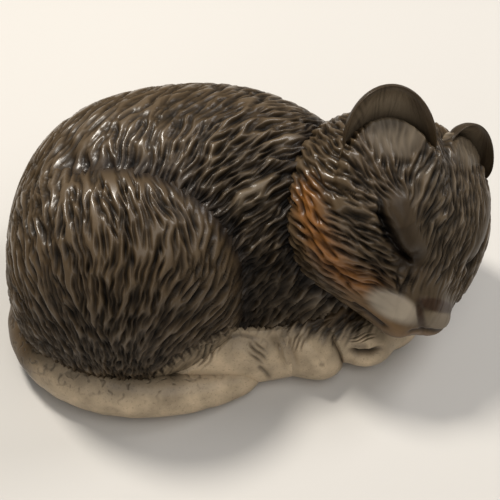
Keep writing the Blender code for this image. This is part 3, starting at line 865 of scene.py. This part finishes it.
class Ear:
    """A dished leaf on the head: its middle, its directions, its height and width.

    Before it lies a floor, an oval of the front view, which swells and meets the leaf in a fillet.
    """

    DISH = 7.5
    THICK = 2.6
    TAPER = 0.06
    ROLL = 0.9
    RIM = 0.93
    RIM_SPREAD = 0.16
    EDGE_POWER = 0.45
    ROWS = 131
    COLS = 300

    def __init__(self, at, up, front, tall, wide, floor, swell, fillet, fill):
        self.middle = HEAD_AT + np.array(at, float)
        self.up = unit(up)
        front = np.array(front, float)
        self.front = unit(front - self.up * (front @ self.up))
        self.side = np.cross(self.front, self.up)
        self.tall, self.wide = tall / 2.0, wide / 2.0
        self.floor, self.swell = floor, swell
        self.fillet, self.fill = fillet, fill

    def before(self, points):
        """How far points lie before the bent face, and their shares of the width and height."""
        local = points - self.middle
        x, z = local @ self.side / self.wide, local @ self.up / self.tall
        return local @ self.front - self.DISH * (x ** 2 + np.maximum(z, 0.0) ** 2), x, z

    def form(self, points):
        """Distance outside the leaf: off its face, or past its rim where that is more."""
        off, x, z = self.before(points)
        steep = (2.0 * self.DISH * x / self.wide) ** 2 + (2.0 * self.DISH * z / self.tall) ** 2
        face = np.abs(off) / np.sqrt(1.0 + steep) - self.THICK
        return np.maximum(face, (np.hypot(x, z) - 1.0) * self.wide)

    def in_front(self, points):
        """Share of points before the bent face, eased over two millimetres."""
        return smooth(-1.0, 1.0, self.before(points)[0])

    def hollow(self, points, edge=1.25, middle=0.60):
        """Share of the pale floor of the ear at points before its face, 0 outside to 1 inside."""
        return smooth(edge, middle, spot(points, self.floor)) * self.in_front(points)


RIGHT_EAR = Ear(at=(-4.2, 6.3, 23.3), up=(0, 0.64, 0.77), front=(0.1, -0.9, 0.6), tall=30.5, wide=26.0,
                floor=RIGHT_EAR_FLOOR, swell=0.6, fillet=9.0, fill=0.40)
LEFT_EAR = Ear(at=(16.8, 13.5, 8.0), up=(0.15, 0.63, 0.76), front=(0.6, -0.8, 0.3), tall=24.7, wide=24.0,
               floor=LEFT_EAR_FLOOR, swell=1.4, fillet=4.0, fill=0.25)
EARS = (RIGHT_EAR, LEFT_EAR)


def trace(corners):
    """Put directions of the head's frame on the head's surface, along rays from its middle."""
    way = unit(np.asarray(corners, float) @ HEAD_TURN.T)
    return HEAD_AT + way * reach(head_form, HEAD_AT, way)[:, None]


class Face:
    """How points of the head lie to its features: distances from lines and shares of ovals."""

    def __init__(self, points, facing):
        view = np.stack(front_view(points), -1)
        behind = FAR_AWAY * (1.0 - facing)
        slit, along = line_distance(view, EYE_SLIT)
        crescent = SLIT_NARROW + SLIT_SWELL * np.sin(np.pi * along)
        self.slit = bell(slit + behind, crescent)
        self.slit_start = smooth(0.0, 0.2, along)
        self.lid = line_distance(view, EYE_LID)[0] + behind
        self.pad = facing * smooth(1.35, 0.70, spot(points, NEAR_PAD))
        self.far_pad = facing * smooth(1.3, 0.75, spot(points, FAR_PAD))
        self.nose = facing * smooth(1.4, 0.8, spot(points, NOSE))
        self.cleft = facing * smooth(1.5, 0.6, spot(points, CLEFT))
        self.far_slit = line_distance(points, trace(FAR_SLIT))[0]
        self.far_lid = line_distance(points, trace(FAR_LID))[0]
        self.corner = line_distance(points, trace(EYE_CORNER))[0]
        self.mouth = line_distance(points, trace(MOUTH))[0]
        self.jaw = line_distance(points, trace(JAW))[0]
        cheek, along = line_distance(points, trace(CHEEK))
        self.cheek = bell(cheek, CHEEK_SPREAD) * smooth(0.0, 0.25, along)

    def bare(self):
        """Share of smooth skin round the eyes."""
        return bell(self.lid, 15.0) * 1.3 + bell(self.far_lid, 4.0) + bell(self.corner, 3.5)

    def lift(self):
        """Height of the features: lids and pads raised, slits, corner, mouth and cleft cut in."""
        lift = LID_RISE * bell(self.lid, LID_SPREAD)
        lift = lift + FAR_LID_RISE * bell(self.far_lid, FAR_LID_SPREAD)
        lift = lift - SLIT_DEPTH * self.slit * self.slit_start
        lift = lift - FAR_SLIT_DEPTH * bell(self.far_slit, FAR_SLIT_SPREAD)
        lift = lift - CORNER_DEPTH * bell(self.corner, CORNER_SPREAD)
        lift = lift - MOUTH_DEPTH * bell(self.mouth, MOUTH_SPREAD)
        lift = lift + PAD_RISE * self.pad + FAR_PAD_RISE * self.far_pad
        return lift - CLEFT_DEPTH * self.cleft + NOSE_RISE * self.nose

    def painted(self, paint):
        """Paint the jaw and near pad pale, the far pad darker as painted shade, the nose brown, and what is
        cut in dark, the eye's inner corner as painted shade.
        """
        paint = mix(paint, STRAW, 0.9 * bell(self.jaw, JAW_SPREAD))
        paint = mix(paint, PALE, self.pad)
        # Painted shade: the far whisker pad is painted darker than the near one
        paint = mix(paint, BEIGE * 0.5, 0.9 * self.far_pad)
        paint = mix(paint, LEATHER, np.maximum(self.nose, 0.9 * self.cleft))
        paint = mix(paint, BLACK_LINES_AND_SHADE * 0.4, np.clip(1.8 * self.slit, 0, 1))
        paint = mix(paint, BLACK_LINES_AND_SHADE, 0.35 * bell(self.lid, 10.0))
        paint = mix(paint, BLACK_LINES_AND_SHADE, 0.9 * bell(self.far_slit, FAR_SLIT_SPREAD))
        # Painted shade: the eye's inner corner is painted near-black
        paint = mix(paint, BLACK_LINES_AND_SHADE, 0.75 * bell(self.corner, 2.4))
        return mix(paint, BLACK_LINES_AND_SHADE, 0.95 * bell(self.mouth, 0.8))


def build_head():
    """Skull and muzzle: meridians run from the nose back over the cheeks."""
    ball = Ball(head_form, core=HEAD_AT, pole=HEAD_TURN[:, 0], seam=(-0.3, 0.4, -0.8),
                rows=199, cols=480, crowd=0.4, lean=0.2)
    p = ball.points
    for ear in EARS:
        p = merge(p, ball.out, ear.form, ear.fillet * ear.in_front(p), ear.fill)
    local = (p - HEAD_AT) @ HEAD_TURN
    facing = facing_front(ball.out)
    face = Face(p, facing)
    ridge = carved(ball, HEAD_FUR, trunk_form(p) > HEAD_SEEN)
    still = np.maximum(*(ear.hollow(p, 1.35, 0.85) for ear in EARS))
    bare = np.clip(face.bare() + 0.8 * still, 0, 1)
    front = smooth(*MUZZLE_X, local[..., 0] - 0.15 * np.abs(local[..., 1]))
    calm = (1.0 - bare) * (1.0 - 0.93 * front) * (1.0 - 0.85 * bell(face.jaw, 4.0)) * (1.0 - 0.97 * face.pad)
    side = smooth(*CHEEK_Y, local[..., 1])
    lift = (HEAD_GROOVE + CHEEK_GROOVE * side) * calm * (ridge - RIDGE_LEVEL) + face.lift()
    for ear in EARS:
        lift = lift + ear.swell * ear.hollow(p, 2.0, 0.0)
    grid = p + ball.out * lift[..., None]
    paint = mix(plain(p.shape[:-1], DARK), ORANGE, 0.9 * face.cheek)
    paint = mix(paint, GREY, 0.25 * front)
    # Painted light: the lit crown of the head is painted lighter grey
    paint = mix(paint, GREY, 0.26 * facing * smooth(1.4, 0.5, spot(p, LIT_CROWN)))
    paint = mix(paint, GREY, 0.72 * np.maximum(*(ear.hollow(p) for ear in EARS)))
    ridge = HEAD_LEVEL + (ridge - HEAD_LEVEL) * np.clip(0.08 + calm, 0, 1)
    return make("head_cast", grid, ridge, face.painted(paint), calm)


def build_ear(name, ear):
    """Dished leaf: a ball pressed flat, narrowed at its tip, its rim brought forward and rolled."""
    t = np.linspace(0.0, np.pi, ear.ROWS)
    s = np.linspace(0.0, 2.0 * np.pi, ear.COLS, endpoint=False)
    theta, phi = np.meshgrid(t, s, indexing="ij")
    x, y, z = -np.sin(theta) * np.cos(phi), np.sin(theta) * np.sin(phi), np.cos(theta)
    tip = np.maximum(z, 0.0)
    rim = np.hypot(x, tip)
    across = x * ear.wide * (1.0 - ear.TAPER * tip)
    roll = ear.ROLL * bell(rim - ear.RIM, ear.RIM_SPREAD) * smooth(0.0, 0.3, y)
    ahead = np.sign(y) * np.abs(y) ** ear.EDGE_POWER * ear.THICK + ear.DISH * (x ** 2 + tip ** 2) + roll
    p = ear.middle + across[..., None] * ear.side + ahead[..., None] * ear.front
    p = p + (z * ear.tall)[..., None] * ear.up
    inside = smooth(0.05, 0.45, y)
    grid = merge(p, outward(p), head_form, 3.0 + 5.0 * inside, 0.25 + 0.15 * inside)
    floor = inside * ear.hollow(p)
    wall = inside * smooth(1.0, 0.75, rim)
    # Painted light: the left of the inner wall is painted lighter grey where light falls on it; the wall is
    # painted darker towards its right
    paint = mix(plain(p.shape[:-1], DARK), GREY * 1.7, 0.75 * wall * smooth(-0.75, -0.1, x))
    paint = mix(paint, BLACK_LINES_AND_SHADE, 0.60 * wall * smooth(-0.25, -0.7, x))
    paint = mix(paint, GREY, 0.6 * floor)
    around = np.arctan2(x, z + 0.35)
    lines = (0.5 + 0.5 * np.cos(68.0 * around + 3.0 * np.sin(11.0 * around + 4.0 * tip))) ** 2
    lines = lines * (0.5 + 0.5 * np.sin(17.0 * around + 6.0 * tip)) * smooth(-0.45, 0.2, x)
    ridge = 0.70 + inside * (0.17 - 0.22 * lines * smooth(0.2, 0.45, rim))
    return make(name, grid, ridge, paint, 1.0 - 0.7 * floor)


def build_tail():
    """Tapering tail: circles along two quarter ovals round the haunch, rounded at both ends."""
    share = 0.5 - 0.5 * np.cos(np.pi * np.linspace(0.0, 1.0, TAIL_ROWS))
    angle = np.radians(TAIL_START + TAIL_TURN * share)
    span = np.where(np.cos(angle) < 0.0, TAIL_REACH_BACK, TAIL_REACH_HEAD)
    radius = TAIL_TIP + (TAIL_ROOT - TAIL_TIP) * (1.0 - share ** TAIL_FULLNESS)
    middle = np.stack([
        TAIL_MIDDLE[0] + span * np.cos(angle),
        TAIL_MIDDLE[1] + TAIL_REACH_FRONT * np.sin(angle),
        TAIL_SINK * radius,
    ], -1)
    ahead = unit(np.gradient(middle, axis=0))
    side = unit(np.cross(ahead, (0.0, 0.0, 1.0)))
    top = np.cross(side, ahead)
    ends = np.minimum(np.minimum(share, 1.0 - share) / TAIL_ROUNDING, 1.0)
    size = radius * np.sqrt(1.0 - (1.0 - ends) ** 2)
    turn = np.linspace(0.0, 2.0 * np.pi, TAIL_COLS, endpoint=False)
    ring = np.cos(turn)[None, :, None] * side[:, None] + np.sin(turn)[None, :, None] * top[:, None]
    wave = np.sin(share * 95.0)[:, None] + 0.8 * np.sin(share * 61.0)[:, None] * np.sin(turn * 3.0)[None]
    fade = smooth(0.0, 0.05, share) * smooth(1.0, 0.95, share)
    p = middle[:, None] + ring * (size[:, None] + TAIL_RIPPLE * wave * fade[:, None])[..., None]
    near = haunch_form(p)
    # Darker grey next to the haunch and above the floor, which also sets where the squiggles show
    grey_by_haunch = smooth(4.0, -2.0, near - 4.0) * smooth(1.0, 5.0, p[..., 2])
    root = smooth(0.47, 0.35, share)[:, None]
    # Painted shade: darker brown on the tail's side by the haunch
    haunch_shade = smooth(1.0, -4.0, near) * smooth(0.98, 0.7, share)[:, None]
    paint = mix(plain(p.shape[:-1], BEIGE), GREY * 1.5, 0.55 * grey_by_haunch)
    paint = mix(paint, DARK * 1.2, np.clip(root + 0.6 * haunch_shade, 0.0, 1.0))
    return make("tail_cast", p, 0.90 + 0.01 * wave, paint, 0.15 + 0.85 * grey_by_haunch)


class Paw(NamedTuple):
    """A paw: its names, form, core and pole, its relief, how much lighter its beige is painted as painted
    light, and the forms it runs into.
    """

    name: str
    node: str
    form: object
    core: tuple
    pole: tuple
    swells: list
    folds: list
    tone: float
    beside: list


PAWS = [
    Paw("hind_paw", "right_hind_paw", hind_form, core=(-6, -24, 8), pole=(1, 0.2, 0),
        swells=HIND_SWELLS, folds=HIND_FOLDS, tone=1.2,
        beside=[(trunk_form, 5.0), (right_fore_form, 7.0), (haunch_form, 4.0)]),
    Paw("right_foreleg", "right_foreleg", right_fore_form, core=(16, -18, 8.5), pole=(0, -0.5, 1),
        swells=RIGHT_SWELLS, folds=RIGHT_FOLDS, tone=1.05,
        beside=[(trunk_form, 5.0), (hind_form, 7.0), (left_fore_form, 5.0)]),
    Paw("left_foreleg", "left_foreleg", left_fore_form, core=(35, -22.3, 7.5), pole=(1, -0.2, 0),
        swells=LEFT_SWELLS, folds=LEFT_FOLDS, tone=1.1,
        beside=[(trunk_form, 4.0), (right_fore_form, 5.0)]),
]


def build_paw(paw):
    """Paw: a ball with swells, clefts and folds, run into its neighbours, dark where the fur ends, with
    painted shade in its clefts and folds.
    """
    ball = Ball(on_floor(paw.form, 1.2), paw.core, paw.pole, seam=(0, 0.3, -1), rows=160, cols=340, crowd=0.4)
    p = ball.points
    for other, wide in paw.beside:
        p = merge(p, ball.out, other, wide)
    fur = fur_edge(p)
    ridge = carved(ball, PAW_FUR, (fur > 0.02) & (ball.out @ AHEAD < 0.3), rest=RIDGE_LEVEL)
    lift = PAW_GROOVE * fur * (ridge - RIDGE_LEVEL)
    valley_shade = np.zeros(p.shape[:-1])
    view = np.stack(front_view(p), -1)
    for swell in paw.swells:
        away, share = line_distance(view, swell.line)
        fade = bell(away, swell.width) * smooth(0.0, 0.3, share) * smooth(1.0, 0.7, share)
        lift = lift + swell.height * fade
        valley_shade = np.maximum(valley_shade, swell.shade_share * fade)
    for field in paw.folds:
        fold = folds(p, field)
        lift = lift - PAW_FOLD_DEPTH * fold
        valley_shade = np.maximum(valley_shade, PAW_FOLD_SHADE * fold)
    grid = p + ball.out * lift[..., None]
    # Darker grey over the foot's top by the haunch, which also sets where the squiggles show
    grey_by_haunch = smooth(1.0, 0.0, spot(p, FOOT_GREY))
    # Painted light: each paw's beige is painted lighter by its own share
    paint = mix(plain(p.shape[:-1], BEIGE * paw.tone), GREY * 1.6, 0.6 * grey_by_haunch)
    paint = mix(paint, DARK * 1.15, fur)
    # Painted shade: near-black in the clefts and folds, and lower ridge shade there
    paint = mix(paint, BLACK_LINES_AND_SHADE * 2.0, 0.75 * valley_shade)
    ridge = PAW_LEVEL + (ridge - PAW_LEVEL) * fur - 0.3 * valley_shade
    return make(paw.name + "_cast", grid, ridge, paint, 0.5 * grey_by_haunch)


place(build_trunk(), "trunk", coat_material("trunk_coat"))
place(build_haunch(), "right_haunch", coat_material("haunch_coat"))
place(build_head(), "head", coat_material("head_coat"))
for ear_name, ear_leaf in (("right_ear", RIGHT_EAR), ("left_ear", LEFT_EAR)):
    coat = coat_material(ear_name + "_coat", hairs=(150.0, 6.0), hair_depth=0.5, streak=0.6)
    place(build_ear(ear_name + "_cast", ear_leaf), ear_name, coat)
place(build_tail(), "tail", bare_material("tail_paint"))
for paw_piece in PAWS:
    skin = bare_material(paw_piece.name + "_paint")
    place(build_paw(paw_piece), paw_piece.node, skin)


class Lamp(NamedTuple):
    """A round lamp: its place and target in metres, its size, power and colour."""

    name: str
    at: tuple
    target: tuple
    size: float
    power: float
    colour: tuple


LAMPS = [
    Lamp("key", (-0.24, 0.25, 0.62), (0, 0, 0.03), size=0.14, power=4.4, colour=(1.0, 0.95, 0.87)),
    Lamp("soft", (0.25, -0.25, 0.9), (0, 0, 0.03), size=0.9, power=3.2, colour=(1.0, 0.98, 0.95)),
    Lamp("side", (0.42, 0.26, 0.52), (0.02, 0, 0.04), size=0.3, power=2.0, colour=(1.0, 0.98, 0.97)),
    Lamp("front", (-0.3, -0.7, 0.35), (0, 0, 0.03), size=0.5, power=0.8, colour=(1.0, 0.97, 0.93)),
]
FLOOR_REACH = 3.0
WORLD_COLOUR = (1.0, 0.98, 0.95, 1.0)
WORLD_STRENGTH = 0.13


def build_floor():
    """Pale paper floor: one square round the origin."""
    mesh = bpy.data.meshes.new("floor")
    r = FLOOR_REACH
    mesh.from_pydata([(-r, -r, 0), (r, -r, 0), (r, r, 0), (-r, r, 0)], [], [(0, 1, 2, 3)])
    floor = bpy.data.objects.new("floor", mesh)
    bpy.context.scene.collection.objects.link(floor)
    material = bpy.data.materials.new("floor_paper")
    material.use_nodes = True
    shader = material.node_tree.nodes["Principled BSDF"]
    shader.inputs["Base Color"].default_value = PAPER
    shader.inputs["Roughness"].default_value = 0.9
    mesh.materials.append(material)


def build_lights():
    """Soft light from above and behind, and a plain world."""
    for lamp in LAMPS:
        light = bpy.data.lights.new(lamp.name, "AREA")
        light.shape = "DISK"
        light.size = lamp.size
        light.energy = lamp.power
        light.color = lamp.colour
        holder = bpy.data.objects.new(lamp.name, light)
        bpy.context.scene.collection.objects.link(holder)
        holder.location = lamp.at
        holder.rotation_mode = "QUATERNION"
        holder.rotation_quaternion = (Vector(lamp.target) - Vector(lamp.at)).to_track_quat("-Z", "Y")
    world = bpy.data.worlds.new("studio")
    bpy.context.scene.world = world
    world.use_nodes = True
    background = world.node_tree.nodes["Background"]
    background.inputs["Color"].default_value = WORLD_COLOUR
    background.inputs["Strength"].default_value = WORLD_STRENGTH


def build_camera():
    """Camera at the front view's angle and distance."""
    lens = bpy.data.cameras.new("camera")
    lens.sensor_width = SENSOR_WIDTH
    lens.lens = SENSOR_WIDTH * VIEW_SCALE / VIEW_SIZE
    lens.clip_start = 0.01
    camera = bpy.data.objects.new("camera", lens)
    bpy.context.scene.collection.objects.link(camera)
    camera.location = EYE * MM
    camera.rotation_euler = (math.pi / 2.0 - TILT, 0.0, 0.0)
    bpy.context.scene.camera = camera
    bpy.context.scene.view_settings.view_transform = "Standard"


build_floor()
build_lights()
build_camera()
